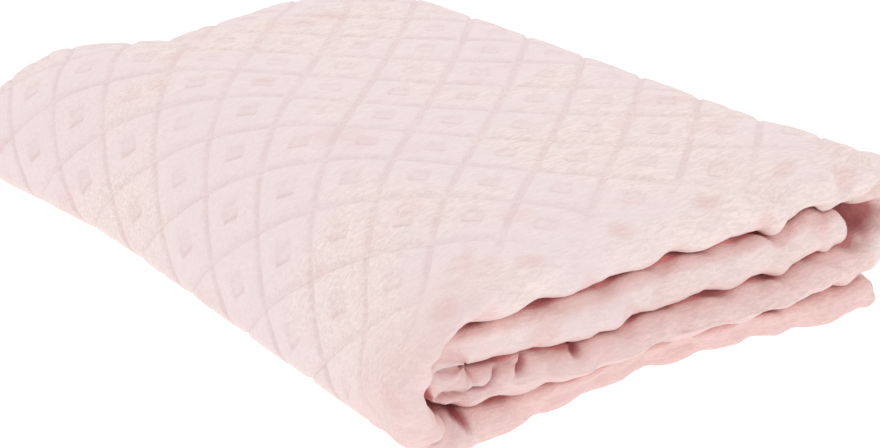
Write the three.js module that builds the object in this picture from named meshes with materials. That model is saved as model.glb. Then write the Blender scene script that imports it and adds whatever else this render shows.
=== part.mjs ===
// Folded embossed throw: one sheet of thick fleece. It is folded in half twice, which gives a
// strip of four layers, and the strip is then rolled up flat in four passes.
// Millimetres, +Z up. X runs across the folds, Y along them, and the near end is at -Y.

import * as THREE from "three";

// Driving dimensions
const CLOTH = 4;
const LAYER_GAP = 1;
const PASS_GAP = 2;
const WIDTH = 290;
const DEPTH = 460;
const DIAMOND = 38;
const GROOVE_DEPTH = 1.7;
const SQUARE_DEPTH = 1.1;

// How far folds and free ends stand back from a neat stack, millimetres
const INSETS = { tuck: 3, secondEnd: 3, bottomEnd: -6, innerBend: 3, underEdge: 3, innerEdge: 6 };

// Looks
const FLEECE = { color: 0xeacfcb, roughness: 0.95, metalness: 0 };

// The strip of four layers and the four passes that it is rolled into
const HALF_CLOTH = CLOTH / 2;
const LAYER_PITCH = CLOTH + LAYER_GAP;
const HALF_STRIP = 1.5 * LAYER_PITCH + HALF_CLOTH;
const PASS_PITCH = 2 * HALF_STRIP + PASS_GAP;
const HEIGHT = 4 * PASS_PITCH - PASS_GAP;
const PASS_HEIGHTS = [3, 2, 1, 0].map((below) => HALF_STRIP + below * PASS_PITCH);
const [COVER_Z, SECOND_Z, THIRD_Z, BOTTOM_Z] = PASS_HEIGHTS;

// Places of the folds and the free ends
const SPINE_RADIUS = (COVER_Z - BOTTOM_Z) / 2;
const SPINE_X = -WIDTH / 2 + SPINE_RADIUS + HALF_STRIP;
const WRAP_RADIUS = (COVER_Z - THIRD_Z) / 2;
const WRAP_X = WIDTH / 2 - WRAP_RADIUS - HALF_STRIP;
const TUCK_RADIUS = (SECOND_Z - THIRD_Z) / 2;
const TUCK_X = SPINE_X + INSETS.tuck;
const SECOND_END_X = WRAP_X - INSETS.secondEnd;
const BOTTOM_END_X = WRAP_X - INSETS.bottomEnd;
const NEAR_BEND_Y = -DEPTH / 2 + HALF_STRIP;
const INNER_BEND_Y = NEAR_BEND_Y + INSETS.innerBend;
const FAR_FOLD_Y = DEPTH / 2 - LAYER_PITCH / 2 - HALF_CLOTH;
const UNDER_EDGE_Y = DEPTH / 2 - INSETS.underEdge;
const INNER_EDGE_Y = DEPTH / 2 - INSETS.innerEdge;

// A diamond is four steps of the grid from corner to corner
const DIAMOND_STEPS = 4;
const GRID = (DIAMOND * Math.SQRT2) / DIAMOND_STEPS;
const SHOWN_STEPS = Math.round((FAR_FOLD_Y - NEAR_BEND_Y) / GRID);
const HIDDEN_STEPS = 4;
const BEND_STEPS = { outer: 6, inner: 4, tight: 2, tuck: 4 };

// Places along the depth, as shares of it, where the layers bend as they settle
const BEND_SHARES = [-0.44, -0.38, -0.3, -0.13, 0.13, 0.3, 0.42];
const BENDS_Y = BEND_SHARES.map((share) => share * DEPTH);
const REACHES_Y = [NEAR_BEND_Y, ...BENDS_Y, FAR_FOLD_Y];

// How the pile has settled. Drops and rises are shares of the height, lengths are millimetres.
// The shoulder is the cover's slope down to the spine. The hood is the spine's near corner, which
// stands out to the left, and the foot makes the spine fuller where it meets the floor.
const SHOULDER = { width: 90, drop: 0.5, nearDrop: 0.1, bend: 1.9 };
const DROOP = { near: 0.02, nearLength: 93, far: 0.12, farLength: 62 };
const RISE = { share: 0.045, from: -20 };
const FLARE = 26;
const HOOD = { amount: 19, length: 95, from: -60, to: -125, lift: 1.4 };
const FOOT = { amount: 12, height: 46 };
const SWAY = { amount: 1.5, length: 260 };
const PULL_LENGTH = 110;

// How far each pass is drawn in at the near end and at the far end, from left to right
const NEAR_PULL = [
  { x: -150, cover: 2, second: 10, third: 8, bottom: 8 },
  { x: -105, cover: 17, second: 12, third: 2, bottom: 14 },
  { x: -60, cover: 21, second: 10, third: 4, bottom: 26 },
  { x: -10, cover: 22, second: 18, third: 7, bottom: 20 },
  { x: 35, cover: 19, second: 15, third: 2, bottom: 16 },
  { x: 90, cover: 24, second: 18, third: 10, bottom: 14 },
  { x: 150, cover: 21, second: 19, third: 22, bottom: 20 },
];
const FAR_PULL = [
  { x: -150, cover: -10, second: 2, third: 0, bottom: 0 },
  { x: -95, cover: -2, second: 8, third: 6, bottom: 4 },
  { x: -48, cover: 24, second: 18, third: 7, bottom: 4 },
  { x: 10, cover: 25, second: 17, third: 13, bottom: 11 },
  { x: 70, cover: 19, second: 14, third: 17, bottom: 12 },
  { x: 150, cover: 21, second: 17, third: 14, bottom: 16 },
];

// The main creases of the cover: troughs of a half width and a reach, turned from the Y axis
const CREASES = [
  { x: -52, y: 212, turn: 4, reach: 46, width: 16, depth: 7 },
  { x: 60, y: -206, turn: -14, reach: 34, width: 12, depth: 6 },
  { x: 112, y: -206, turn: 20, reach: 30, width: 14, depth: 5 },
  { x: -112, y: -176, turn: 30, reach: 24, width: 16, depth: 4 },
  { x: -20, y: -190, turn: 70, reach: 40, width: 18, depth: 2.5 },
];

const { clamp, lerp, smoothstep, degToRad } = THREE.MathUtils;

// A smooth curve through one column of a table of rows sorted by x
function readAcross(table, column, x) {
  let row = 0;
  while (row < table.length - 2 && x > table[row + 1].x) {
    row += 1;
  }
  const [left, right] = [table[row], table[row + 1]];
  return lerp(left[column], right[column], smoothstep(x, left.x, right.x));
}

// The value for a height between the middles of the passes
function readAtHeight(table, x, z) {
  const level = clamp((COVER_Z - z) / PASS_PITCH, 0, 3);
  const names = ["cover", "second", "third", "bottom"];
  const above = Math.min(Math.floor(level), 2);
  const upper = readAcross(table, names[above], x);
  const lower = readAcross(table, names[above + 1], x);
  return lerp(upper, lower, level - above);
}

// How far the creases press the cover down at a point of the floor
function creaseDepth(x, y) {
  let depth = 0;
  for (const crease of CREASES) {
    const turn = degToRad(crease.turn);
    const [dx, dy] = [x - crease.x, y - crease.y];
    const along = dx * Math.sin(turn) + dy * Math.cos(turn);
    const across = dx * Math.cos(turn) - dy * Math.sin(turn);
    depth += crease.depth * Math.exp(-((along / crease.reach) ** 2) - (across / crease.width) ** 2);
  }
  return depth;
}

// The share of its neat height that the pile keeps above a point of the floor
function settledShare(x, y) {
  const nearness = smoothstep(-y, DEPTH / 2 - DROOP.nearLength, DEPTH / 2);
  const farness = smoothstep(y, DEPTH / 2 - DROOP.farLength, DEPTH / 2);
  const inward = clamp((x + WIDTH / 2) / SHOULDER.width, 0, 1);
  const drop = lerp(SHOULDER.drop, SHOULDER.nearDrop, nearness);
  const shoulder = 1 - drop * (1 - inward) ** SHOULDER.bend;
  const ends = (1 - DROOP.near * nearness) * (1 - DROOP.far * farness);
  const rise = 1 + RISE.share * smoothstep(x, RISE.from, WIDTH / 2);
  return shoulder * ends * rise * (1 - creaseDepth(x, y) / HEIGHT);
}

// Moves a point of the neatly folded throw to where it lies in the settled one
function settledPoint(x, y, z) {
  const near = smoothstep(-y, DEPTH / 2 - PULL_LENGTH, DEPTH / 2 - HALF_STRIP);
  const far = smoothstep(y, DEPTH / 2 - PULL_LENGTH, DEPTH / 2 - HALF_STRIP);
  const inward = (x + WIDTH / 2) / WIDTH;
  const flare = (-FLARE * inward * y) / (DEPTH / 2);
  const sway = SWAY.amount * Math.sin(y / (SWAY.length / Math.PI) + z / HEIGHT);
  const leftness = smoothstep(-x, -HOOD.from, -HOOD.to);
  const edge = smoothstep(-y, DEPTH / 2 - HOOD.length, DEPTH / 2);
  const hood = HOOD.amount * edge * Math.sin(Math.PI * (z / HEIGHT) ** HOOD.lift);
  const foot = FOOT.amount * (1 - smoothstep(z, 0, FOOT.height));
  return [
    x + flare + sway - leftness * (hood + foot),
    y + near * readAtHeight(NEAR_PULL, x, z) - far * readAtHeight(FAR_PULL, x, z),
    z * settledShare(x, y),
  ];
}

// The same, straight between the places where the layers bend, so that all layers lie alike
function settle(x, y, z) {
  const after = REACHES_Y.findIndex((reach) => reach > y);
  if (after < 1) {
    return settledPoint(x, y, z);
  }
  const [from, to] = [REACHES_Y[after - 1], REACHES_Y[after]];
  const start = settledPoint(x, from, z);
  const end = settledPoint(x, to, z);
  return start.map((value, axis) => lerp(value, end[axis], (y - from) / (to - from)));
}

// The strip's section: points (t along the strip's depth, n through its layers) in a closed loop
function stripSection() {
  const points = [];
  const hidden = (from, to, n) => {
    const between = to > from ? BENDS_Y : BENDS_Y.toReversed();
    for (const t of [from, ...between, to]) {
      points.push({ t, n, row: -1 });
    }
  };
  const shown = (from, to, n) => {
    for (let row = 0; row <= SHOWN_STEPS; row += 1) {
      points.push({ t: lerp(from, to, row / SHOWN_STEPS), n, row });
    }
  };
  const bend = (t, n, radius, fromDeg, toDeg, steps) => {
    for (let step = 1; step < steps; step += 1) {
      const angle = degToRad(lerp(fromDeg, toDeg, step / steps));
      points.push({ t: t + radius * Math.cos(angle), n: n + radius * Math.sin(angle), row: -1 });
    }
  };
  const outerFace = HALF_STRIP;
  const outerBack = HALF_STRIP - CLOTH;
  const innerFace = outerBack - LAYER_GAP;
  const innerBack = innerFace - CLOTH;
  const foldN = LAYER_PITCH;
  hidden(UNDER_EDGE_Y, NEAR_BEND_Y, -outerFace);
  bend(NEAR_BEND_Y, 0, outerFace, -90, -270, BEND_STEPS.outer);
  shown(NEAR_BEND_Y, FAR_FOLD_Y, outerFace);
  bend(FAR_FOLD_Y, foldN, outerFace - foldN, 90, -90, BEND_STEPS.inner);
  hidden(FAR_FOLD_Y, INNER_BEND_Y, innerBack);
  bend(INNER_BEND_Y, 0, innerBack, 90, 270, BEND_STEPS.tight);
  hidden(INNER_BEND_Y, INNER_EDGE_Y, -innerBack);
  hidden(INNER_EDGE_Y, INNER_BEND_Y, -innerFace);
  bend(INNER_BEND_Y, 0, innerFace, -90, -270, BEND_STEPS.inner);
  hidden(INNER_BEND_Y, FAR_FOLD_Y, innerFace);
  bend(FAR_FOLD_Y, foldN, foldN - innerFace, -90, 90, BEND_STEPS.tight);
  hidden(FAR_FOLD_Y, NEAR_BEND_Y, outerBack);
  bend(NEAR_BEND_Y, 0, outerBack, 90, 270, BEND_STEPS.inner);
  hidden(NEAR_BEND_Y, UNDER_EDGE_Y, -outerBack);
  return points;
}

// The way that the strip is rolled, from the free end underneath to the free end inside
function rollPath() {
  const stations = [];
  const straight = (from, to, z, facing, steps) => {
    for (let step = 0; step <= steps; step += 1) {
      stations.push({ x: lerp(from, to, step / steps), z, nx: 0, nz: facing, column: -1 });
    }
  };
  const turn = (x, z, radius, fromDeg, toDeg, steps) => {
    for (let step = 1; step < steps; step += 1) {
      const angle = degToRad(lerp(fromDeg, toDeg, step / steps));
      const [nx, nz] = [Math.cos(angle), Math.sin(angle)];
      stations.push({ x: x + radius * nx, z: z + radius * nz, nx, nz, column: -1 });
    }
  };
  const spineSteps = Math.round((Math.PI * (SPINE_RADIUS + HALF_STRIP)) / GRID);
  const coverSteps = Math.round((WRAP_X - SPINE_X) / GRID);
  const wrapSteps = Math.round((Math.PI * (WRAP_RADIUS + HALF_STRIP)) / GRID);
  straight(BOTTOM_END_X, SPINE_X, BOTTOM_Z, -1, HIDDEN_STEPS);
  const firstShown = stations.length - 1;
  turn(SPINE_X, BOTTOM_Z + SPINE_RADIUS, SPINE_RADIUS, -90, -270, spineSteps);
  straight(SPINE_X, WRAP_X, COVER_Z, 1, coverSteps);
  turn(WRAP_X, SECOND_Z, WRAP_RADIUS, 90, -90, wrapSteps);
  const lastShown = stations.length;
  straight(WRAP_X, TUCK_X, THIRD_Z, -1, HIDDEN_STEPS);
  turn(TUCK_X, THIRD_Z + TUCK_RADIUS, TUCK_RADIUS, -90, -270, BEND_STEPS.tuck);
  straight(TUCK_X, SECOND_END_X, SECOND_Z, 1, HIDDEN_STEPS);
  for (let column = firstShown; column <= lastShown; column += 1) {
    stations[column].column = column - firstShown;
  }
  return stations;
}

// Whether a step of the grid lies on one of the embossed grooves, which run along its diagonals
const onRising = (column, row) => (column - row) % DIAMOND_STEPS === 0;
const onFalling = (column, row) => (column + row) % DIAMOND_STEPS === 0;

// How far the fleece is pressed in: most in the grooves, less in the square of each diamond
function embossDepth(column, row) {
  if (column < 0 || row < 0) {
    return 0;
  }
  if (onRising(column, row) || onFalling(column, row)) {
    return GROOVE_DEPTH;
  }
  const evenStep = (column + row) % 2 === 0;
  return evenStep ? SQUARE_DEPTH : 0;
}

// Whether a cell of the sheet is split from its second corner to its fourth. Shown cells follow
// the grooves, and hidden ones are all split the same way as seen from above.
function splitsAcross(station, point, next) {
  if (station.column >= 0 && point.row >= 0) {
    return onFalling(station.column + 1, point.row);
  }
  return next.t > point.t !== station.nz > 0;
}

// Triangles that close a cut edge of the strip: rungs between the two faces of the fleece
function edgeFaces(section) {
  const span = (a, b) => Math.hypot(section[a].t - section[b].t, section[a].n - section[b].n);
  const faces = [];
  let first = 0;
  let last = section.length - 1;
  while (last - first > 1) {
    if (span(first + 1, last) <= span(first, last - 1)) {
      faces.push([first, first + 1, last]);
      first += 1;
    } else {
      faces.push([first, last - 1, last]);
      last -= 1;
    }
  }
  return faces;
}

// The closed skin of the folded sheet, centred above the floor
function throwGeometry() {
  const section = stripSection();
  const path = rollPath();
  const positions = [];
  for (const station of path) {
    for (const point of section) {
      const n = point.n - embossDepth(station.column, point.row);
      positions.push(...settle(station.x + n * station.nx, point.t, station.z + n * station.nz));
    }
  }
  const around = section.length;
  const vertex = (column, row) => column * around + (row % around);
  const indices = [];
  for (let column = 0; column < path.length - 1; column += 1) {
    for (let row = 0; row < around; row += 1) {
      const corner = vertex(column, row);
      const ahead = vertex(column + 1, row);
      const beside = vertex(column, row + 1);
      const opposite = vertex(column + 1, row + 1);
      const next = section[(row + 1) % around];
      if (splitsAcross(path[column], section[row], next)) {
        indices.push(corner, ahead, beside, ahead, opposite, beside);
      } else {
        indices.push(corner, ahead, opposite, corner, opposite, beside);
      }
    }
  }
  const lastColumn = path.length - 1;
  for (const [a, b, c] of edgeFaces(section)) {
    indices.push(vertex(0, a), vertex(0, b), vertex(0, c));
    indices.push(vertex(lastColumn, a), vertex(lastColumn, c), vertex(lastColumn, b));
  }
  const geometry = new THREE.BufferGeometry();
  geometry.setAttribute("position", new THREE.Float32BufferAttribute(positions, 3));
  geometry.setIndex(indices);
  geometry.computeBoundingBox();
  const middle = geometry.boundingBox.getCenter(new THREE.Vector3());
  geometry.translate(-middle.x, -middle.y, -geometry.boundingBox.min.z);
  geometry.computeVertexNormals();
  return geometry;
}

const foldedThrow = new THREE.Mesh(throwGeometry(), new THREE.MeshStandardMaterial(FLEECE));
foldedThrow.name = "throw";

const group = new THREE.Group();
group.name = "folded_embossed_throw";
group.add(foldedThrow);

export default group;
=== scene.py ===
import math
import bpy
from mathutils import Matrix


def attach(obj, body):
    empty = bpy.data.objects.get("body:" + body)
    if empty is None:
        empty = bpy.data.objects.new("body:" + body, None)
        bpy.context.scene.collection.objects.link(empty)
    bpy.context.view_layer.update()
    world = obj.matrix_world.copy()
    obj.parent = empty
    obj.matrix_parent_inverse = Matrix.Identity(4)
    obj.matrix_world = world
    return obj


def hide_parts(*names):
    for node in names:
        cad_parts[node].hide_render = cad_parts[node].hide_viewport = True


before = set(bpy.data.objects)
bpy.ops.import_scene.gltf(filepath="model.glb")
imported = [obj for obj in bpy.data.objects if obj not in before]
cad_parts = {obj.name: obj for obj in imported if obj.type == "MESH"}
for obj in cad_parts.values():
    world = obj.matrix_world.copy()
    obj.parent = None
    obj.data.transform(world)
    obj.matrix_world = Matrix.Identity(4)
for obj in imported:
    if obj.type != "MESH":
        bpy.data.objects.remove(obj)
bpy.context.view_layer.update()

from types import SimpleNamespace

import bpy
import numpy as np
from mathutils import Matrix, Vector

bl_info = {
    "name": "Folded embossed throw",
    "version": (1, 0, 0),
    "blender": (4, 5, 0),
    "location": "View3D > Sidebar > Throw",
    "description": "Makes a folded throw of embossed fleece and a plain stage for it",
    "category": "Object",
}

MM = 0.001
NODE = "throw"
PIECE = "folded_fleece"
LATTICE_MAP = "lattice"
FOLD_SHADE_MAP = "fold"
CREASE_SHADE_MAP = "crease"
CALM_MAP = "calm"

# The form. Lengths are millimetres. X runs across the folds, Y along them, and the near end is at -Y.

# How far folds and free ends stand back from a neat stack
INSETS = {"tuck": 3, "second_end": 3, "bottom_end": -6, "inner_bend": 3, "under_edge": 3, "inner_edge": 6}

# Where the middle of the settled throw lies, seen from above
SETTLED_MIDDLE = (1.959, 3.884)

# How the pile has settled. Drops and rises are shares of the height.
SHOULDER = {"width": 90, "drop": 0.5, "near_drop": 0.1, "bend": 1.9}
DROOP = {"near": 0.02, "near_length": 93, "far": 0.12, "far_length": 62}
RISE = {"share": 0.045, "start": -20}
SLOPE = {"drop": 0.06, "start": 92, "end": 142, "near": (-190, -120)}
FLARE = 26
FAR_FLARE = {"amount": 12, "start": 70, "end": 215, "from": 20}
HOOD = {"amount": 19, "length": 95, "start": 60, "end": 125, "lift": 1.4}
FOOT = {"amount": 12, "height": 46}
SWAY = {"amount": 1.5, "length": 260}
PULL_LENGTH = 110

# How far each pass is drawn in at the near end and at the far end, from left to right
PASSES = ("cover", "second", "third", "bottom")
NEAR_PULL = {
    "x": (-150, -127, -112, -85, -60, -10, 35, 90, 150),
    "cover": (2, 9, 16, 18.5, 21, 22, 19, 24, 21),
    "second": (8, 8, 28, 18, 10, 18, 15, 18, 19),
    "third": (6, 4, 22, 12, 4, 7, 2, 10, 22),
    "bottom": (8, 10, 13, 19.5, 24, 29, 24, 14, 17),
}
FAR_PULL = {
    "x": (-150, -95, -48, 10, 70, 150),
    "cover": (-10, -2, 24, 25, 19, 21),
    "second": (2, 8, 18, 17, 14, 17),
    "third": (0, 6, 7, 13, 17, 14),
    "bottom": (0, 4, 4, 11, 12, 16),
}

# The main creases of the cover: troughs of a half width and a reach, turned from the Y axis
CREASES = (
    {"x": -26, "y": 212, "turn": 4, "reach": 46, "width": 17, "depth": 5},
    {"x": 60, "y": -206, "turn": -14, "reach": 34, "width": 12, "depth": 6},
    {"x": 112, "y": -206, "turn": 20, "reach": 30, "width": 14, "depth": 5},
    {"x": -112, "y": -176, "turn": 30, "reach": 24, "width": 16, "depth": 4},
    {"x": -20, "y": -190, "turn": 70, "reach": 40, "width": 18, "depth": 2.5},
    {"x": 57, "y": -222, "turn": -22, "reach": 17, "width": 4.5, "depth": 5},
    {"x": 99, "y": -226, "turn": 50, "reach": 9, "width": 4, "depth": 4},
    {"x": 118, "y": -218, "turn": -10, "reach": 13, "width": 4.5, "depth": 5},
)

# Creases of the near end, seen from the front: troughs in X and Z of the neat throw, turned from Z
FACE_CREASES = (
    {"x": -85, "z": 36.5, "turn": 44, "reach": 6, "width": 1.8, "depth": 7},
    {"x": -64, "z": 38.5, "turn": 46, "reach": 4.5, "width": 1.8, "depth": 7},
    {"x": -76, "z": 34.0, "turn": 20, "reach": 8, "width": 2.6, "depth": 3},
    {"x": -112, "z": 30.5, "turn": 95, "reach": 7, "width": 1.8, "depth": 4.5},
    {"x": -101, "z": 30.5, "turn": 80, "reach": 6, "width": 1.8, "depth": 5},
    {"x": -94.5, "z": 35.5, "turn": 38, "reach": 6, "width": 1.8, "depth": 5.5},
    {"x": -111, "z": 42.5, "turn": 110, "reach": 9, "width": 1.6, "depth": 4},
    {"x": -108, "z": 17.0, "turn": -5, "reach": 8, "width": 2.8, "depth": 7},
    {"x": -121, "z": 19.0, "turn": 74, "reach": 10, "width": 2.4, "depth": 6.5},
    {"x": 123, "z": 46.0, "turn": 20, "reach": 9, "width": 2.4, "depth": 6},
)

# The loose end inside the roll stands further back at the near end
LOOSE_END = {"amount": 12, "start": 50, "end": 108, "stop": (112, 126), "half_height": (9, 20)}

# Spacing of the mesh: fine on the faces that show, coarse where the cloth lies on itself. To the left of
# CREASED_X the near end is creased. Hidden rows and faces keep only some of the columns and rows, and a
# lip is the stretch of cloth beside each near bend.
FINE = 2.0
END_SPACING = 2.5
CREASED_X = -55.0
CREASE_SPACING = 1.2
HIDDEN_SPACING = 18.0
COLUMN_SKIP = 6
ROW_SKIP = 8
BEND_STEPS = {"near": 16, "far": 8, "inner": 6}
LIP = 20.0
LIP_SPACING = 4.0

# The least length that a normal is divided by
LEAST_LENGTH = 1e-9

# The share of its thickness that the cloth has at its cut edges
EDGE_SHARE = 0.45

# The power of the near bend's superellipse: 2 is a circle
BEND_FULLNESS = 2.5

# Where the cloth hangs slack, at the near ends, the grooves are soft and the diamonds swell and crowd.
# The depth is a share of the pressed one, a dimple is flat and then slopes up between the two distances
# from its middle, and CALM_FROM is where along Y the pressed form sets in.
SLACK = {"reach": 7.0, "depth": 0.5, "pillow": 3.3, "crowd": 1.4, "shift": 0.3, "dimple": 1.3}
DIMPLE = (3.0, 10.0)
CALM_FROM = (-224.0, -165.0)

# What keeps a pillow's edge from a sharp crease, and how much of a pillow lies below the middle face
PILLOW_EASE = 0.04
PILLOW_LEVEL = 0.6

# The fold value is painted shade in the folds. On a bend it grows with the slant of the face, between
# two slants, with a smaller share on lower sides and a least value on each pass inside the roll, larger
# on the lower passes. Where cloth lies on cloth it is painted shade of FOLD_GAP near the near bends, and
# FOLD_EDGES elsewhere and at the free ends, with FREE_END as the stretch along which it rises. The open
# face has painted shade towards the spine: a low share, darker towards the floor, and a near share.
FOLD_SLANT = (0.25, 0.95)
FOLD_BELOW = 0.45
FOLD_INNER = {"cover": 0.3, "second": 0.3, "third": 0.6, "bottom": 0.8}
FOLD_GAP = 2.0
FOLD_EDGES = 0.4
FREE_END = (2.0, 40.0)
FOLD_SPINE = {"low": 0.3, "height": 55, "near": 0.45, "start": 110, "end": 225, "from": 60, "to": 135}

# The depth at which a crease has its full painted shade
CREASE_FULL = 6.5


def smoothstep(value, low, high):
    """A share that goes from 0 at low to 1 at high along 3 s squared minus 2 s cubed."""
    share = np.clip((value - low) / (high - low), 0.0, 1.0)
    return share * share * (3.0 - 2.0 * share)


def blend(start, end, share):
    """The value a share of the way from start to end."""
    return start + (end - start) * share


def fold_places(sizes):
    """Where the folds lie, from the cloth's thickness, the gaps and the two outer sizes."""
    p = SimpleNamespace()
    p.cloth = sizes.cloth / MM
    p.width, p.depth = sizes.width / MM, sizes.depth / MM
    pitch = p.cloth + sizes.layer_gap / MM
    p.layer_pitch = pitch
    p.half_strip = 1.5 * pitch + p.cloth / 2
    p.pass_pitch = 2 * p.half_strip + sizes.pass_gap / MM
    p.height = 4 * p.pass_pitch - sizes.pass_gap / MM
    p.levels = tuple(p.half_strip + below * p.pass_pitch for below in (3, 2, 1, 0))
    cover, second, third, bottom = p.levels
    p.spine_radius = (cover - bottom) / 2
    p.spine_x = -p.width / 2 + p.spine_radius + p.half_strip
    p.wrap_radius = (cover - third) / 2
    p.wrap_x = p.width / 2 - p.wrap_radius - p.half_strip
    p.tuck_radius = (second - third) / 2
    p.tuck_x = p.spine_x + INSETS["tuck"]
    p.second_end_x = p.wrap_x - INSETS["second_end"]
    p.bottom_end_x = p.wrap_x - INSETS["bottom_end"]
    p.near_bend_y = -p.depth / 2 + p.half_strip
    p.inner_bend_y = p.near_bend_y + INSETS["inner_bend"]
    p.far_fold_y = p.depth / 2 - pitch / 2 - p.cloth / 2
    p.under_edge_y = p.depth / 2 - INSETS["under_edge"]
    p.inner_edge_y = p.depth / 2 - INSETS["inner_edge"]
    return p


def read_across(table, column, x):
    """A smooth curve through one column of a table, which eases from each place to the next."""
    places, values = np.array(table["x"], float), np.array(table[column], float)
    row = np.clip(np.searchsorted(places, x, side="left") - 1, 0, len(places) - 2)
    share = smoothstep(x, places[row], places[row + 1])
    return blend(values[row], values[row + 1], share)


def read_at_height(table, p, x, z):
    """The table's value between the middles of the passes, linear in height."""
    level = np.clip((p.levels[0] - z) / p.pass_pitch, 0.0, 3.0)
    across = [read_across(table, name, x) for name in PASSES]
    above = np.minimum(np.floor(level), 2).astype(int)
    upper = np.choose(above, across[:3])
    lower = np.choose(above, across[1:])
    return blend(upper, lower, level - above)


def trough_sum(troughs, axis, x, other):
    """The depth of soft troughs in X and one other axis: each is a bell along its reach times a bell
    across its width."""
    depth = np.zeros(np.broadcast(x, other).shape)
    for trough in troughs:
        turn = math.radians(trough["turn"])
        dx, dy = x - trough["x"], other - trough[axis]
        along = dx * math.sin(turn) + dy * math.cos(turn)
        across = dx * math.cos(turn) - dy * math.sin(turn)
        bell = (along / trough["reach"]) ** 2 + (across / trough["width"]) ** 2
        depth = depth + trough["depth"] * np.exp(-bell)
    return depth


def settled_share(p, x, y):
    """The share of its neat height that the pile keeps: shoulder, ends, rise, slope, creases."""
    nearness = smoothstep(-y, p.depth / 2 - DROOP["near_length"], p.depth / 2)
    farness = smoothstep(y, p.depth / 2 - DROOP["far_length"], p.depth / 2)
    inward = np.clip((x + p.width / 2) / SHOULDER["width"], 0.0, 1.0)
    drop = blend(SHOULDER["drop"], SHOULDER["near_drop"], nearness)
    shoulder = 1.0 - drop * (1.0 - inward) ** SHOULDER["bend"]
    ends = (1.0 - DROOP["near"] * nearness) * (1.0 - DROOP["far"] * farness)
    rise = 1.0 + RISE["share"] * smoothstep(x, RISE["start"], p.width / 2)
    beside_wrap = smoothstep(x, SLOPE["start"], SLOPE["end"]) * smoothstep(y, *SLOPE["near"])
    slope = 1.0 - SLOPE["drop"] * beside_wrap
    return shoulder * ends * rise * slope * (1.0 - trough_sum(CREASES, "y", x, y) / p.height)


def settle(p, x, y, z):
    """Moves points of the neatly folded throw to where they lie in the settled one."""
    near = smoothstep(-y, p.depth / 2 - PULL_LENGTH, p.depth / 2 - p.half_strip)
    far = smoothstep(y, p.depth / 2 - PULL_LENGTH, p.depth / 2 - p.half_strip)
    inward = (x + p.width / 2) / p.width
    flare = -FLARE * inward * y / (p.depth / 2)
    sway = SWAY["amount"] * np.sin(y / (SWAY["length"] / np.pi) + z / p.height)
    leftness = smoothstep(-x, HOOD["start"], HOOD["end"])
    edge = smoothstep(-y, p.depth / 2 - HOOD["length"], p.depth / 2)
    level = np.clip(z / p.height, 0.0, 1.0)
    hood = HOOD["amount"] * edge * np.sin(np.pi * level ** HOOD["lift"])
    foot = FOOT["amount"] * (1.0 - smoothstep(z, 0.0, FOOT["height"]))
    held = smoothstep(x, LOOSE_END["start"], LOOSE_END["end"]) * (1.0 - smoothstep(x, *LOOSE_END["stop"]))
    inside = 1.0 - smoothstep(abs(z - p.levels[1]), *LOOSE_END["half_height"])
    loose = LOOSE_END["amount"] * near * held * inside
    spread = smoothstep(y, FAR_FLARE["start"], FAR_FLARE["end"])
    spread = spread * smoothstep(-x, FAR_FLARE["from"], p.width / 2)
    moved_x = x + flare + sway - leftness * (hood + foot) - loose - FAR_FLARE["amount"] * spread
    pulled = read_at_height(NEAR_PULL, p, x, z) + trough_sum(FACE_CREASES, "z", x, z)
    moved_y = y + near * pulled - far * read_at_height(FAR_PULL, p, x, z)
    moved_z = z * settled_share(p, x, y)
    return np.stack([moved_x - SETTLED_MIDDLE[0], moved_y - SETTLED_MIDDLE[1], moved_z], -1)


# The folded sheet


def straight(start, end, spacing):
    """Even places from start to end, about a spacing apart."""
    return np.linspace(start, end, max(1, round(abs(end - start) / spacing)) + 1)


def strip_section(p):
    """The middle of the cloth through the strip's depth: t along it, n through its layers, and the
    unit vector (ot, on) towards the outer face. The strip is the cloth folded in half twice. Its near
    bend is a superellipse, a little fuller than a circle."""
    outer, inner = 1.5 * p.layer_pitch, 0.5 * p.layer_pitch
    parts = []

    def run(start, end, n, facing, spacing, kind):
        t = straight(start, end, spacing)
        parts.append((t, 0 * t + n, 0 * t, 0 * t + facing, [kind] * len(t)))

    def bend(t, n, radius, first, last, facing, steps, kind, fullness=2.0):
        angle = np.radians(np.linspace(first, last, steps + 1)[1:-1])
        c, s = np.cos(angle), np.sin(angle)
        full_c, full_s = (np.sign(v) * abs(v) ** (2.0 / fullness) for v in (c, s))
        parts.append((t + radius * full_c, n + radius * full_s, facing * c, facing * s, [kind] * len(angle)))

    lip_y = p.near_bend_y + LIP
    run(p.under_edge_y, lip_y, -outer, -1, HIDDEN_SPACING, "under")
    run(lip_y - LIP_SPACING, p.near_bend_y, -outer, -1, LIP_SPACING, "lip")
    bend(p.near_bend_y, 0, outer, -90, -270, 1, BEND_STEPS["near"], "near", BEND_FULLNESS)
    run(p.near_bend_y, lip_y, outer, 1, FINE, "lip")
    run(lip_y + FINE, p.far_fold_y, outer, 1, FINE, "shown")
    bend(p.far_fold_y, p.layer_pitch, inner, 90, -90, 1, BEND_STEPS["far"], "far")
    run(p.far_fold_y, p.inner_bend_y, inner, -1, HIDDEN_SPACING, "inside")
    bend(p.inner_bend_y, 0, inner, 90, 270, -1, BEND_STEPS["inner"], "inside")
    run(p.inner_bend_y, p.inner_edge_y, -inner, 1, HIDDEN_SPACING, "inside")
    t, n, ot, on = (np.concatenate([part[k] for part in parts]) for k in range(4))
    kind = np.array(sum((part[4] for part in parts), []))
    return SimpleNamespace(t=t, n=n, ot=ot, on=on, kind=kind)


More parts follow.
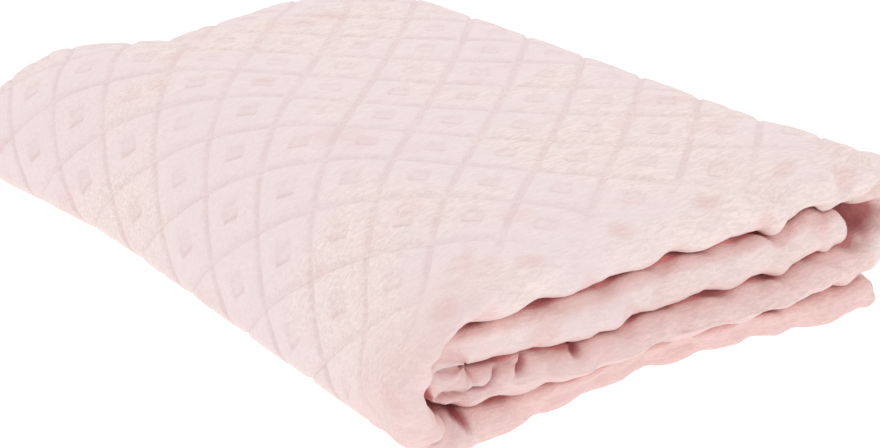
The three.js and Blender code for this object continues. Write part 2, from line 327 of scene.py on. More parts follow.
def roll_path(p):
    """The way that the strip is rolled: x and z of its middle, the unit vector (nx, nz) towards its
    outer face, from the free end underneath to the free end inside."""
    cover, second, third, bottom = p.levels
    parts = []

    def run(start, end, z, facing, spacing, kind, skip=0):
        x = straight(start, end, spacing)[skip:]
        parts.append((x, 0 * x + z, 0 * x, 0 * x + facing, [kind] * len(x)))

    def turn(x, z, radius, first, last, spacing, kind):
        steps = round(math.pi * (radius + p.half_strip) / spacing)
        angle = np.radians(np.linspace(first, last, steps + 1)[1:-1])
        c, s = np.cos(angle), np.sin(angle)
        parts.append((x + radius * c, z + radius * s, c, s, [kind] * len(angle)))

    def parted_run(start, end, z, facing):
        """A run from one side of CREASED_X to the other, with finer columns on the creased side."""
        spacings = (CREASE_SPACING, END_SPACING) if start < CREASED_X else (END_SPACING, CREASE_SPACING)
        run(start, CREASED_X, z, facing, spacings[0], "hidden")
        run(CREASED_X, end, z, facing, spacings[1], "hidden", skip=1)

    parted_run(p.bottom_end_x, p.spine_x, bottom, -1)
    turn(p.spine_x, bottom + p.spine_radius, p.spine_radius, -90, -270, FINE, "shown")
    run(p.spine_x, p.wrap_x, cover, 1, FINE, "shown")
    turn(p.wrap_x, second, p.wrap_radius, 90, -90, FINE, "shown")
    parted_run(p.wrap_x, p.tuck_x, third, -1)
    turn(p.tuck_x, third + p.tuck_radius, p.tuck_radius, -90, -270, CREASE_SPACING, "hidden")
    parted_run(p.tuck_x, p.second_end_x, second, 1)
    x, z, nx, nz = (np.concatenate([part[k] for part in parts]) for k in range(4))
    kind = np.array(sum((part[4] for part in parts), []))
    return SimpleNamespace(x=x, z=z, nx=nx, nz=nz, kind=kind)


def lengths(points, axis, start):
    """Arc length along an axis of a grid of points, with its zero at the place start."""
    steps = np.linalg.norm(np.diff(points, axis=axis), axis=-1)
    pad = [(0, 0), (0, 0)]
    pad[axis] = (1, 0)
    total = np.cumsum(np.pad(steps, pad), axis=axis)
    zero = np.take(total, [start], axis=axis)
    return total - zero


# The lattice of grooves runs along whole values of two coordinates. Each is a sum of terms in the
# lengths u and v across and along the folds, in diamonds from one crossing on the cover: it is turned
# by about 47 degrees, and drifts as the cloth was pulled. Beyond DRIFT_LIMITS the drift is the same.
CROSSING = (0.0, 38.0)
LATTICE_TERMS = ("one", "u", "v", "uu", "uv", "vv", "uuu", "uuv")
LATTICE = {
    "a": (-0.03, 0.665, -0.756, 0.0, -0.003, 0.0085, 0.0048, 0.0),
    "b": (0.03, -0.80, -0.69, -0.005, -0.022, -0.0105, 0.006, -0.0045),
}
DRIFT_LIMITS = {"u": (-5.5, 4.5), "v": (-6.5, 5.0)}


def lattice_value(name, u, v):
    """A lattice coordinate: straight terms in the lengths, and drift terms in the limited lengths."""
    du, dv = np.clip(u, *DRIFT_LIMITS["u"]), np.clip(v, *DRIFT_LIMITS["v"])
    terms = {"one": 1.0, "u": u, "v": v}
    terms |= {"uu": du**2, "uv": du * dv, "vv": dv**2, "uuu": du**3, "uuv": du**2 * dv}
    return sum(amount * terms[term] for term, amount in zip(LATTICE_TERMS, LATTICE[name]))


def emboss(sizes, a, b, calm):
    """The height of the fleece above its middle face, millimetres: a soft pillow in each diamond, the
    fourth root of the product of two squared sines that PILLOW_EASE keeps from a sharp crease, less
    a flat-bottomed groove at whole values of a and b, less a square recess at each middle. Where the
    cloth is calm, from 0 to 1, grooves are as pressed. Elsewhere they are wide, soft and shallow, and
    the squares are soft dimples."""
    diamond = sizes.diamond / MM
    from_a, from_b = abs(a - np.round(a)) * diamond, abs(b - np.round(b)) * diamond
    half_groove, half_square = sizes.groove_width / MM / 2, sizes.square_side / MM / 2
    soft = sizes.wall / MM / 2

    def groove(distance):
        sharp = 1.0 - smoothstep(distance, half_groove - soft, half_groove + soft)
        slack = 1.0 - smoothstep(distance, 0.0, SLACK["reach"])
        return blend(SLACK["depth"] * slack, sharp, calm)

    def middle(low, high):
        in_a = 1.0 - smoothstep(diamond / 2 - from_a, low, high)
        return in_a * (1.0 - smoothstep(diamond / 2 - from_b, low, high))

    def pillow(a, b):
        waves = (np.sin(np.pi * a) ** 2 + PILLOW_EASE) * (np.sin(np.pi * b) ** 2 + PILLOW_EASE)
        return waves**0.25 - PILLOW_LEVEL

    pressed = 1.0 - (1.0 - groove(from_a)) * (1.0 - groove(from_b))
    recess = middle(half_square - soft, half_square + soft) * calm
    dimple = middle(*DIMPLE) * (1.0 - calm)
    crowded = pillow(a * SLACK["crowd"] + SLACK["shift"], b * SLACK["crowd"] - SLACK["shift"])
    swell = blend(SLACK["pillow"] * crowded, sizes.pillow / MM * pillow(a, b), calm)
    sunk = sizes.groove_depth / MM * pressed + sizes.square_depth / MM * recess + SLACK["dimple"] * dimple
    return swell - sunk


def settled_sheet(sizes):
    """Both faces of the cloth before the emboss, as grids of points, with the section carried along
    the path and settled, and lengths along the outer face from the crossing, in diamonds. The share
    at_bend is 1 on the near bends and fades over their lips."""
    p = fold_places(sizes)
    section, path = strip_section(p), roll_path(p)

    # The cloth is thinner at its cut edges
    row_share, column_share = np.ones(len(section.t)), np.ones(len(path.x))
    row_share[[0, -1]] = column_share[[0, -1]] = EDGE_SHARE
    thick = p.cloth / 2 * row_share[None, :] * column_share[:, None]

    def skin(side):
        t = section.t[None, :] + side * thick * section.ot[None, :]
        n = section.n[None, :] + side * thick * section.on[None, :]
        x = path.x[:, None] + n * path.nx[:, None]
        z = path.z[:, None] + n * path.nz[:, None]
        return settle(p, x, t, z), x, z

    (outer, across, height), (inner, _, _) = skin(1.0), skin(-1.0)

    # The lengths start at the crossing on the cover. On the bends they are those at the start of the face.
    shown = np.flatnonzero(section.kind == "shown")
    cover = np.flatnonzero((path.kind == "shown") & (path.nz == 1))
    row_zero = shown[np.argmin(abs(section.t[shown] - CROSSING[1] - SETTLED_MIDDLE[1]))]
    column_zero = cover[np.argmin(abs(outer[cover, row_zero, 0] - CROSSING[0]))]
    along_x = lengths(outer, 0, column_zero) / (sizes.diamond / MM)
    along_y = lengths(outer, 1, row_zero) / (sizes.diamond / MM)
    face_start = np.flatnonzero((section.kind == "lip") & (section.n > 0))[0]
    along_x[:, :face_start] = along_x[:, face_start, None]
    lip_fade = 1.0 - smoothstep(section.t, p.near_bend_y, p.near_bend_y + LIP)
    return SimpleNamespace(
        places=p,
        section=section,
        path=path,
        outer=outer,
        inner=inner,
        across=across,
        height=height,
        along_x=along_x,
        along_y=along_y,
        at_bend=np.where(section.kind == "near", 1.0, 0.0) + (section.kind == "lip") * lip_fade,
    )


def gap_shade(sheet):
    """The painted shade where cloth lies on cloth, as a fold value: FOLD_GAP near the near bends, and
    FOLD_EDGES beyond and at both free ends."""
    path, lip_y = sheet.path, sheet.places.near_bend_y + LIP
    beyond = smoothstep(sheet.section.t, lip_y, lip_y + 2 * LIP)[None, :]
    along = np.concatenate([[0.0], np.cumsum(np.hypot(np.diff(path.x), np.diff(path.z)))])
    within = smoothstep(np.minimum(along, along[-1] - along), *FREE_END)[:, None]
    return blend(FOLD_EDGES, FOLD_GAP, (1.0 - beyond) * within)


def fold_shade(sheet):
    """The painted shade of the folds: how deep in the folds each point of the outer face lies. On a bend
    it grows from 0 to 1 from the front to the layers' edges with the slant of the face, and more so where
    that slants upwards. The passes inside the roll start at FOLD_INNER, and cloth that lies on cloth has
    its own value. On the open face it is painted shade towards the spine, FOLD_SPINE's sum of a low and a
    near share."""
    section, path = sheet.section, sheet.path
    open_column = (path.kind == "shown")[:, None]
    slant = section.on[None, :] * np.ones((len(path.x), 1))
    upwards = 0.5 + 0.5 * np.sign(slant) * path.nz[:, None]
    deep = smoothstep(abs(slant), *FOLD_SLANT) * blend(FOLD_BELOW, 1.0, upwards)
    least = np.interp(path.z, sheet.places.levels[::-1], [FOLD_INNER[name] for name in PASSES[::-1]])
    deep = np.where(open_column, deep, blend(least[:, None], 1.0, deep))
    low = FOLD_SPINE["low"] * (1.0 - smoothstep(sheet.height, 0.0, FOLD_SPINE["height"]))
    near = FOLD_SPINE["near"] * smoothstep(-section.t, FOLD_SPINE["start"], FOLD_SPINE["end"])[None, :]
    spine = (low + near) * smoothstep(-sheet.across, FOLD_SPINE["from"], FOLD_SPINE["to"])
    spine = np.where(open_column, spine, 0.0)
    at_near = (section.kind == "near")[None, :]
    at_far = (section.kind == "far")[None, :]
    closed = np.where(at_near, np.maximum(deep, spine), np.where(at_far, 0.0, gap_shade(sheet)))
    return np.where(open_column & (slant > 0), spine, closed)


def crease_shade(x, z):
    """The painted shade of a crease: how far a point of the near end lies in it, from 0 to 1, as a share of
    CREASE_FULL.
    """
    return np.clip(trough_sum(FACE_CREASES, "z", x, z) / CREASE_FULL, 0.0, 1.0)


def embossed_face(sheet, sizes, a, b, calm):
    """The outer face, moved along its normal by the emboss but never below the floor."""
    section = sheet.section
    normal = np.cross(np.gradient(sheet.outer, axis=1), np.gradient(sheet.outer, axis=0))
    normal /= np.maximum(np.linalg.norm(normal, axis=-1, keepdims=True), LEAST_LENGTH)
    normal *= np.sign(np.sum(normal * (sheet.outer - sheet.inner), -1, keepdims=True))
    on_face = np.isin(section.kind, ("shown", "far")) | ((section.kind == "lip") & (section.n > 0))
    open_face = (sheet.path.kind == "shown")[:, None] & on_face[None, :]
    reach = np.maximum(open_face, sheet.at_bend[None, :])
    outer = sheet.outer + normal * (emboss(sizes, a, b, calm) * reach)[..., None]
    outer[..., 2] = np.maximum(outer[..., 2], 0.0)
    return outer


def kept_points(section, path):
    """Which point of the full grid, with the outer rows and then the inner rows backwards, each corner
    of the mesh takes. Hidden rows keep every COLUMN_SKIP-th column and hidden faces every ROW_SKIP-th
    row, and a corner in between takes the last kept point, so the skin stays closed."""
    rows, columns = len(section.t), len(path.x)
    places, order = np.arange(columns), np.arange(2 * rows)
    kind = np.concatenate([section.kind, section.kind[::-1]])
    outside = order < rows
    bend_row = (kind == "near") | (outside & (kind == "lip"))
    face_row = outside & np.isin(kind, ("shown", "far"))
    open_column = path.kind == "shown"

    starts = np.flatnonzero(np.diff(open_column.astype(int), prepend=-1))
    since = places - starts[np.searchsorted(starts, places, side="right") - 1]
    kept_column = (since % COLUMN_SKIP == 0) | (places == columns - 1)
    runs = kind == "shown"
    run_ends = runs & ~(np.roll(runs, 1) & np.roll(runs, -1))
    kept_row = ~runs | (order % ROW_SKIP == 0) | run_ends
    last_column = np.maximum.accumulate(np.where(kept_column, places, 0))
    last_row = np.maximum.accumulate(np.where(kept_row, order, 0))

    fine = bend_row[None, :] | (face_row[None, :] & open_column[:, None])
    hidden_run = runs[None, :] & ~(open_column[:, None] & outside[None, :])
    column_of = np.where(fine, places[:, None], last_column[:, None])
    row_of = np.where(hidden_run, last_row[None, :], order[None, :])
    return column_of * len(order) + row_of


def closed_triangles(index, rows):
    """Triangles between neighbouring columns of the closed loop of rows, and a cap on the first and the
    last column. Triangles that the kept points have drawn together to nothing are left out."""
    ahead = np.roll(index, -1, axis=1)
    between = np.stack([index[:-1], index[1:], ahead[1:], ahead[:-1]], -1).reshape(-1, 4)

    def cap(column):
        over, under = column[:rows], column[: rows - 1 : -1]
        return np.stack([over[:-1], over[1:], under[1:], under[:-1]], -1)

    quads = np.concatenate([between, cap(index[0]), cap(index[-1])[:, [1, 0, 3, 2]]])
    triangles = np.concatenate([quads[:, [0, 1, 2]], quads[:, [0, 2, 3]]])
    return triangles[np.all(triangles != np.roll(triangles, 1, axis=1), axis=1)]


def throw_mesh(sizes):
    """The closed skin of the embossed and folded sheet: its points in metres and its triangles, and for
    each point the two lattice coordinates, the painted shade values of folds and creases, and the calm value."""
    sheet = settled_sheet(sizes)
    section, path = sheet.section, sheet.path
    a, b = (lattice_value(name, sheet.along_x, sheet.along_y) for name in LATTICE)
    calm = smoothstep(section.t, *CALM_FROM)[None, :] * (path.kind == "shown")[:, None]
    crease = crease_shade(sheet.across, sheet.height) * sheet.at_bend[None, :]

    def loop(over, under):
        return np.concatenate([over, under[:, ::-1]], axis=1)

    points = loop(embossed_face(sheet, sizes, a, b, calm), sheet.inner)
    lattice = np.stack([loop(value, value) for value in (a, b)], -1)
    fold = loop(fold_shade(sheet), gap_shade(sheet))
    shade = np.stack([fold, loop(crease, 0 * crease), loop(calm, calm)], -1)
    triangles = closed_triangles(kept_points(section, path), len(section.t))
    used, triangles = np.unique(triangles, return_inverse=True)
    vertices = points.reshape(-1, 3)[used] * MM
    return vertices, triangles.reshape(-1, 3), lattice.reshape(-1, 2)[used], shade.reshape(-1, 3)[used]


def make_piece(name, vertices, triangles, lattice, shade, material):
    """A mesh object at the origin from whole arrays, shaded smooth, with its own UV map and attributes."""
    mesh = bpy.data.meshes.new(name)
    mesh.vertices.add(len(vertices))
    mesh.vertices.foreach_set("co", vertices.astype(np.float32).ravel())
    mesh.loops.add(triangles.size)
    mesh.loops.foreach_set("vertex_index", triangles.astype(np.int32).ravel())
    mesh.polygons.add(len(triangles))
    mesh.polygons.foreach_set("loop_start", np.arange(0, triangles.size, 3, dtype=np.int32))
    mesh.update(calc_edges=True)
    mesh.validate()
    uv = mesh.uv_layers.new(name=LATTICE_MAP)
    uv.data.foreach_set("uv", lattice[triangles.ravel()].astype(np.float32).ravel())
    for column, title in enumerate((FOLD_SHADE_MAP, CREASE_SHADE_MAP, CALM_MAP)):
        values = np.ascontiguousarray(shade[:, column], dtype=np.float32)
        mesh.attributes.new(title, "FLOAT", "POINT").data.foreach_set("value", values)
    mesh.shade_smooth()
    mesh.materials.append(material)
    piece = bpy.data.objects.new(name, mesh)
    bpy.context.scene.collection.objects.link(piece)
    return piece


# The fleece


class NodeGraph:
    """Short calls for the nodes of one material."""

    def __init__(self, material):
        material.use_nodes = True
        self.tree = material.node_tree
        self.shader = self.tree.nodes["Principled BSDF"]

    def node(self, kind, **settings):
        made = self.tree.nodes.new(kind)
        for name, value in settings.items():
            setattr(made, name, value)
        return made

    def link(self, source, target):
        self.tree.links.new(source, target)

    def fill(self, socket, value):
        """Links a socket, or sets a constant, whichever the value is."""
        if isinstance(value, bpy.types.NodeSocket):
            self.link(value, socket)
        else:
            socket.default_value = value

    def math(self, operation, *values):
        made = self.node("ShaderNodeMath", operation=operation)
        for socket, value in zip(made.inputs, values):
            self.fill(socket, value)
        return made.outputs[0]

    def times(self, first, *others):
        """The product of two or more values."""
        for other in others:
            first = self.math("MULTIPLY", first, other)
        return first

    def ease(self, value, low, high, start=0.0, end=1.0):
        """The value, smoothly from start at low to end at high."""
        made = self.node("ShaderNodeMapRange", interpolation_type="SMOOTHSTEP")
        for socket, part in zip(made.inputs, (value, low, high, start, end)):
            self.fill(socket, part)
        return made.outputs[0]

    def split(self, vector):
        made = self.node("ShaderNodeSeparateXYZ")
        self.link(vector, made.inputs[0])
        return made.outputs

    def attribute(self, name):
        return self.node("ShaderNodeAttribute", attribute_name=name).outputs["Fac"]

    def noise(self, vector, settings):
        """Noise with the scale, detail, roughness and distortion that the settings hold."""
        made = self.node("ShaderNodeTexNoise")
        self.fill(made.inputs["Vector"], vector)
        for name in ("scale", "detail", "roughness", "distortion"):
            made.inputs[name.title()].default_value = settings.get(name, PLAIN_NOISE[name])
        return made.outputs["Fac"]

    def stretched(self, vector, turn, stretch):
        """The vector turned about Z and then drawn together along X, so that a pattern on it runs on."""
        made = self.node("ShaderNodeMapping", vector_type="POINT")
        self.fill(made.inputs["Vector"], vector)
        made.inputs["Rotation"].default_value = (0.0, 0.0, math.radians(turn))
        made.inputs["Scale"].default_value = (1.0 / stretch, 1.0, 1.0)
        return made.outputs["Vector"]

    def mix(self, share, first, second):
        made = self.node("ShaderNodeMix", data_type="RGBA")
        self.fill(made.inputs["Factor"], share)
        self.fill(made.inputs["A"], first)
        self.fill(made.inputs["B"], second)
        return made.outputs["Result"]


# Millimetres: the painted shade line beside a pressed edge, the tufts and the crisp part of the pressed
# relief
EDGE_SHADE_WIDTH = 1.3
TUFT_HEIGHT = 0.35
PRESSED_RELIEF = 0.25

# How much higher the tufts stand where the cloth is slack
SLACK_TUFTS = 1.7

# Noise in the pile. Scales are per metre, and a range is where the pattern sets in and where it is full.
# The pressed pattern wears off here and there, patches lie one way or another, and blots are pinker.
PLAIN_NOISE = {"scale": 1.0, "detail": 2.0, "roughness": 0.5, "distortion": 0.0}
WEAR = {"scale": 40.0, "range": (0.3, 0.6), "least": 0.45}
PATCHES = {"scale": 11.0, "detail": 3.0, "roughness": 0.55, "distortion": 0.4, "range": (0.38, 0.62)}
BLOTS = {"scale": 30.0, "distortion": 0.2, "range": (0.58, 0.76), "share": 0.35}
TUFTS = {"scale": 620.0, "roughness": 0.65, "share": 0.25}

# The brushed strokes of the pile: degrees from X, and how much longer than wide
STROKES = {"scale": 560.0, "roughness": 0.6, "distortion": 0.8, "share": 0.75, "turn": -35.0, "stretch": 4.0}

# The brushed patches gather towards the near end: this is added to their noise, from one Y in metres
# to another
LEAN = {"from": -0.18, "to": 0.15, "near": 0.02, "far": -0.06}

# How strongly the grain of tufts and strokes shows in the colour of the face and of the brushed patches
GRAIN = {"range": (0.36, 0.64), "face": 0.03, "brushed": 0.07, "level": 0.99}

# Shares of the full colour, painted shade or relief. Dimples fade up to DIMPLE_CALM, and CREASE_RANGE is
# where the painted shade of a crease starts to show and where it is full.
SHARES = {"shallow_groove": 0.4, "groove_edge_shade": 0.85, "side_edge_shade": 0.45, "recess_relief": 0.4}
PRESSED_SHARES = {"pressed": 0.45, "recess": 0.3, "edge_shade": 0.6}
DIMPLE_SHARE = 0.5
DIMPLE_CALM = 0.9
CREASE_RANGE = (0.3, 1.1)

# The gloss of pile and floor, and how wide the pile's sheen spreads
SPECULAR = 0.1
SHEEN_ROUGHNESS = 0.45


def pressed_pattern(g, sizes, a, b, shown):
    """Masks of the pressed grooves, the pressed squares, the painted shade beside their edges, and the soft
    middles of the diamonds. A groove lies at whole values of a and b, steep in the picture for a and
    shallow for b. The painted shade is a dark line on the near side of each groove and square, where the
    pile's edge would shade the pressed floor, and along the near part of the squares' other sides."""
    diamond = sizes.diamond
    half, soft = sizes.groove_width / 2, sizes.wall / 2
    side, edge, line = sizes.square_side / 2, diamond / 2, EDGE_SHADE_WIDTH * MM

    def to_line(value):
        return g.times(g.math("PINGPONG", value, 0.5), diamond)

    def beyond(value, place):
        return g.times(g.math("WRAP", g.math("SUBTRACT", value, place), -0.5, 0.5), diamond)

    def bell(distance, place, width):
        return g.ease(g.math("ABSOLUTE", g.math("SUBTRACT", distance, place)), 0.0, width, 1.0, 0.0)

    def soft_middle(distance):
        return g.ease(g.math("SUBTRACT", edge, distance), DIMPLE[0] * MM, DIMPLE[1] * MM, 1.0, 0.0)

    from_a, from_b = to_line(a), to_line(b)
    steep = g.ease(from_a, half - soft, half + soft, 1.0, 0.0)
    shallow = g.ease(from_b, half - soft, half + soft, 1.0, 0.0)
    pressed = g.times(g.math("MAXIMUM", steep, g.times(shallow, SHARES["shallow_groove"])), shown)
    in_a = g.ease(from_a, edge - side - soft, edge - side + soft)
    in_b = g.ease(from_b, edge - side - soft, edge - side + soft)
    recess = g.times(in_a, in_b, shown)

    near_groove = bell(beyond(b, 0.0), half, line)
    near_side = g.times(bell(beyond(b, 0.5), side - line / 2, 2 * line), in_a)
    towards_near = g.ease(beyond(b, 0.5), -side / 2, side)
    sides = g.times(bell(from_a, edge - side, line), in_b, towards_near)
    edge_shade = g.math("MAXIMUM", g.times(near_groove, SHARES["groove_edge_shade"]), near_side)
    edge_shade = g.times(g.math("MAXIMUM", edge_shade, g.times(sides, SHARES["side_edge_shade"])), shown)
    return pressed, recess, edge_shade, g.times(soft_middle(from_a), soft_middle(from_b))


def fleece_material(sizes, colours):
    """Short plush pile: a pink that is deeper where it is pressed flat, mottled where the pile lies
    one way or another, with a grain of tufts in colour and bump, and a soft sheen. Shade is painted into
    the colour beside the pressed edges, in the folds, where cloth lies on cloth and in the creases."""
    material = bpy.data.materials.new("embossed_fleece")
    g = NodeGraph(material)
    place = g.node("ShaderNodeTexCoord").outputs["Object"]
    a, b, _ = g.split(g.node("ShaderNodeUVMap", uv_map=LATTICE_MAP).outputs["UV"])
    calm, fold = g.attribute(CALM_MAP), g.attribute(FOLD_SHADE_MAP)

    # The pressed pattern fades where the cloth is slack, and here and there
    wear = g.ease(g.noise(place, WEAR), *WEAR["range"], WEAR["least"], 1.0)
    pressed, recess, edge_shade, middles = pressed_pattern(g, sizes, a, b, g.times(calm, wear))

    # Pale and pink patches, where the pile lies one way or another, with strong tufts in the pale ones
    lean = g.ease(g.split(place)[1], LEAN["from"], LEAN["to"], LEAN["near"], LEAN["far"])
    patches = g.ease(g.math("ADD", g.noise(place, PATCHES), lean), *PATCHES["range"])
    strokes = g.noise(g.stretched(place, STROKES["turn"], STROKES["stretch"]), STROKES)
    tufts = g.noise(place, TUFTS)
    grain = g.math("ADD", g.times(tufts, TUFTS["share"]), g.times(strokes, STROKES["share"]))

    blots = g.ease(g.noise(place, BLOTS), *BLOTS["range"])
    loose = g.ease(calm, 0.0, DIMPLE_CALM, DIMPLE_SHARE, 0.0)
    colour = g.mix(patches, colours.face, colours.brushed)
    colour = g.mix(g.times(pressed, PRESSED_SHARES["pressed"]), colour, colours.pressed)
    colour = g.mix(g.times(recess, PRESSED_SHARES["recess"]), colour, colours.pressed)
    # Painted shade: a dark line beside the near edge of each groove and square
    colour = g.mix(g.times(edge_shade, PRESSED_SHARES["edge_shade"]), colour, colours.line)
    colour = g.mix(g.times(blots, BLOTS["share"]), colour, colours.deep)
    colour = g.mix(g.times(middles, loose), colour, colours.deep)
    # Painted shade in the folds and where cloth lies on cloth
    colour = g.mix(g.ease(fold, 0.0, 1.0), colour, colours.deep)
    colour = g.mix(g.ease(fold, 1.0, FOLD_GAP), colour, colours.gap)
    # Painted shade in the creases
    colour = g.mix(g.ease(g.attribute(CREASE_SHADE_MAP), *CREASE_RANGE), colour, colours.crease)
    strength = g.ease(patches, 0.0, 1.0, GRAIN["face"], GRAIN["brushed"])
    swing = g.times(g.ease(grain, *GRAIN["range"], -1.0, 1.0), strength)
    tint = g.node("ShaderNodeVectorMath", operation="SCALE")
    g.link(colour, tint.inputs[0])
    g.link(g.math("ADD", swing, GRAIN["level"]), tint.inputs["Scale"])
    g.link(tint.outputs[0], g.shader.inputs["Base Color"])

    # Relief of the tufts and of the crisp edges of the pressed pattern
    tuft_height = g.times(grain, g.ease(calm, 0.0, 1.0, SLACK_TUFTS, 1.0), TUFT_HEIGHT * MM)
    relief = g.math("MAXIMUM", pressed, g.times(recess, SHARES["recess_relief"]))
    bump = g.node("ShaderNodeBump")
    bump.inputs["Strength"].default_value = 1.0
    bump.inputs["Distance"].default_value = 1.0
    g.link(g.math("ADD", tuft_height, g.times(relief, -PRESSED_RELIEF * MM)), bump.inputs["Height"])
    g.link(bump.outputs[0], g.shader.inputs["Normal"])

    g.shader.inputs["Roughness"].default_value = colours.roughness
    g.shader.inputs["Specular IOR Level"].default_value = SPECULAR
    g.shader.inputs["Sheen Weight"].default_value = colours.sheen
    g.shader.inputs["Sheen Roughness"].default_value = SHEEN_ROUGHNESS
    g.shader.inputs["Sheen Tint"].default_value = colours.sheen_tint
    return material


# Sizes and colours


def size(name, description, default):
    """A length in metres as a setting."""
    return bpy.props.FloatProperty(
        name=name, description=description, default=default, min=0.0, unit="LENGTH", precision=4
    )


def colour(name, description, default):
    """A linear colour as a setting."""
    return bpy.props.FloatVectorProperty(
        name=name, description=description, default=(*default, 1.0), size=4, min=0.0, max=1.0, subtype="COLOR"
    )


class ThrowSizes(bpy.types.PropertyGroup):
    width: size("Width", "Width of the neat stack, across the folds", 0.290)
    depth: size("Depth", "Depth of the neat stack, along the folds", 0.460)
    cloth: size("Cloth", "Thickness of the fleece", 0.004)
    layer_gap: size("Layer gap", "Gap between the layers of a strip", 0.001)
    pass_gap: size("Pass gap", "Gap between the passes of the roll", 0.002)
    diamond: size("Diamond", "Side of one embossed diamond", 0.038)
    groove_width: size("Groove width", "Width of the embossed grooves", 0.0032)
    groove_depth: size("Groove depth", "Depth of the embossed grooves", 0.0012)
    square_side: size("Square side", "Side of the pressed square in each diamond", 0.0105)
    square_depth: size("Square depth", "Depth of the pressed square", 0.0010)
    wall: size("Wall", "Width of the pile's slope at a pressed line", 0.0018)
    pillow: size("Pillow", "How far each diamond swells", 0.0008)


class FleeceColours(bpy.types.PropertyGroup):
    face: colour("Face", "Colour of the pile", (0.94, 0.795, 0.79))
    brushed: colour("Brushed", "Colour where the pile lies the other way", (0.95, 0.80, 0.768))
    pressed: colour("Pressed", "Colour where the pile is pressed flat", (0.86, 0.69, 0.665))
    # The line colour is painted shade beside the near edge of each pressed groove and square
    line: colour("Line", "Colour of the pile's edge beside a pressed line", (0.79, 0.59, 0.57))
    # The deep colour is painted shade inside the folds, and also the colour of the random pinker blots and of
    # the slack dimples
    deep: colour("Deep", "Colour of the pile inside the folds", (0.88, 0.60, 0.57))
    # The gap colour is painted shade where cloth lies on cloth
    gap: colour("Gap", "Colour of the pile where cloth lies on cloth", (0.90, 0.43, 0.41))
    # The crease colour is painted shade deep in a crease
    crease: colour("Crease", "Colour of the pile deep in a crease", (0.42, 0.10, 0.11))
    roughness: bpy.props.FloatProperty(
        name="Roughness", description="Roughness of the pile", default=1.0, min=0.0, max=1.0
    )
    sheen: bpy.props.FloatProperty(
        name="Sheen", description="Strength of the pile's sheen", default=0.4, min=0.0, max=1.0
    )
    sheen_tint: colour("Sheen tint", "Colour of the pile's sheen", (1.0, 0.93, 0.92))


class StageSettings(bpy.types.PropertyGroup):
    floor: colour("Floor", "Colour of the floor", (0.25, 0.25, 0.25))
    sky: bpy.props.FloatProperty(name="Sky", description="Strength of the even light", default=0.86, min=0.0)
    glow: bpy.props.FloatProperty(
        name="Floor glow", description="Light that the bright floor gives of its own", default=0.88, min=0.0
    )
    key: bpy.props.FloatProperty(name="Key light", description="Power of the softbox", default=2.6, min=0.0)
    lens: bpy.props.FloatProperty(
        name="Lens", description="Focal length of the camera, millimetres", default=91.917, min=1.0
    )


class THROW_OT_folded_fleece(bpy.types.Operator):
    """Make the folded throw as one closed sheet of embossed fleece"""

    bl_idname = "throw.folded_fleece"
    bl_label = "Folded fleece"

    def execute(self, context):
        sizes, colours = context.scene.throw_sizes, context.scene.throw_colours
        piece = make_piece(PIECE, *throw_mesh(sizes), fleece_material(sizes, colours))
        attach(piece, "root")
        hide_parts(NODE)
        return {"FINISHED"}


# Metres: half the side of the floor, and the softbox, which aims at the middle of the floor
FLOOR_HALF = 4.0
FLOOR_ROUGHNESS = 0.9
SOFTBOX = {"place": (0.3, 0.55, 1.5), "size": (1.2, 0.9)}
WHITE = (1.0, 1.0, 1.0, 1.0)

# The camera's place in metres, and how it is turned from Y about Z, tilted down and rolled, in degrees
SENSOR_WIDTH = 36.0
CAMERA = {"place": (-0.652375, -0.941952, 0.508132), "azimuth": 35.504, "tilt": 23.615, "roll": -0.155}


def make_floor(scene, settings):
    """A plain pale floor that gives some light of its own."""
    mesh = bpy.data.meshes.new("floor")
    corners = [(x * FLOOR_HALF, y * FLOOR_HALF, 0.0) for x, y in ((-1, -1), (1, -1), (1, 1), (-1, 1))]
    mesh.from_pydata(corners, [], [(0, 1, 2, 3)])
    material = bpy.data.materials.new("floor_pale")
    material.use_nodes = True
    shader = material.node_tree.nodes["Principled BSDF"]
    shader.inputs["Base Color"].default_value = settings.floor
    shader.inputs["Roughness"].default_value = FLOOR_ROUGHNESS
    shader.inputs["Specular IOR Level"].default_value = SPECULAR
    shader.inputs["Emission Color"].default_value = WHITE
    shader.inputs["Emission Strength"].default_value = settings.glow
    mesh.materials.append(material)
    floor = bpy.data.objects.new("floor", mesh)
    scene.collection.objects.link(floor)


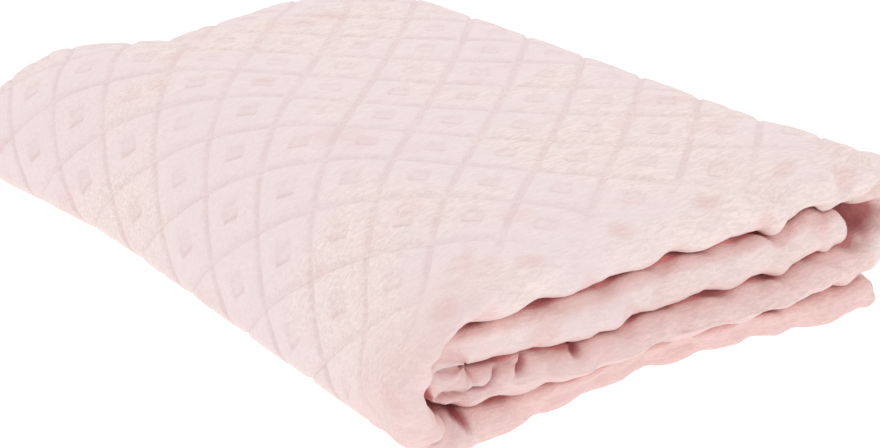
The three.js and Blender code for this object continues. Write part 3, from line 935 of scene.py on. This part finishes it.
def make_lights(scene, settings):
    """An even white sky and one large softbox."""
    world = bpy.data.worlds.new("studio")
    world.use_nodes = True
    background = world.node_tree.nodes["Background"]
    background.inputs["Color"].default_value = WHITE
    background.inputs["Strength"].default_value = settings.sky
    scene.world = world

    light = bpy.data.lights.new("softbox", "AREA")
    light.shape = "RECTANGLE"
    light.size, light.size_y = SOFTBOX["size"]
    light.energy = settings.key
    softbox = bpy.data.objects.new("softbox", light)
    softbox.location = SOFTBOX["place"]
    softbox.rotation_euler = (-Vector(SOFTBOX["place"])).to_track_quat("-Z", "Y").to_euler()
    scene.collection.objects.link(softbox)


def make_camera(scene, settings):
    """The camera at its place, turned about Z, then tilted, then rolled."""
    lens = bpy.data.cameras.new("camera")
    lens.lens, lens.sensor_width = settings.lens, SENSOR_WIDTH
    camera = bpy.data.objects.new("camera", lens)
    camera.matrix_world = (
        Matrix.Translation(CAMERA["place"])
        @ Matrix.Rotation(math.radians(-CAMERA["azimuth"]), 4, "Z")
        @ Matrix.Rotation(math.radians(90 - CAMERA["tilt"]), 4, "X")
        @ Matrix.Rotation(math.radians(CAMERA["roll"]), 4, "Z")
    )
    scene.collection.objects.link(camera)
    scene.camera = camera


class THROW_OT_stage(bpy.types.Operator):
    """Make the pale floor, the soft light and the camera"""

    bl_idname = "throw.stage"
    bl_label = "Stage"

    def execute(self, context):
        scene, settings = context.scene, context.scene.throw_stage
        make_floor(scene, settings)
        make_lights(scene, settings)
        make_camera(scene, settings)
        scene.view_settings.view_transform = "Standard"
        return {"FINISHED"}


class THROW_PT_panel(bpy.types.Panel):
    """Lists the makers of the throw and its stage"""

    bl_idname = "THROW_PT_panel"
    bl_label = "Folded throw"
    bl_space_type = "VIEW_3D"
    bl_region_type = "UI"
    bl_category = "Throw"

    def draw(self, context):
        layout = self.layout
        for maker in OPERATORS:
            layout.operator(maker.bl_idname)


OPERATORS = (THROW_OT_folded_fleece, THROW_OT_stage)
SETTINGS = {"throw_sizes": ThrowSizes, "throw_colours": FleeceColours, "throw_stage": StageSettings}


def register():
    for cls in (*SETTINGS.values(), *OPERATORS, THROW_PT_panel):
        bpy.utils.register_class(cls)
    for name, cls in SETTINGS.items():
        setattr(bpy.types.Scene, name, bpy.props.PointerProperty(type=cls))


def unregister():
    for name in SETTINGS:
        delattr(bpy.types.Scene, name)
    for cls in (THROW_PT_panel, *reversed(OPERATORS), *reversed(SETTINGS.values())):
        bpy.utils.unregister_class(cls)


def main():
    register()
    bpy.ops.throw.folded_fleece()
    bpy.ops.throw.stage()


if __name__ == "__main__":
    main()
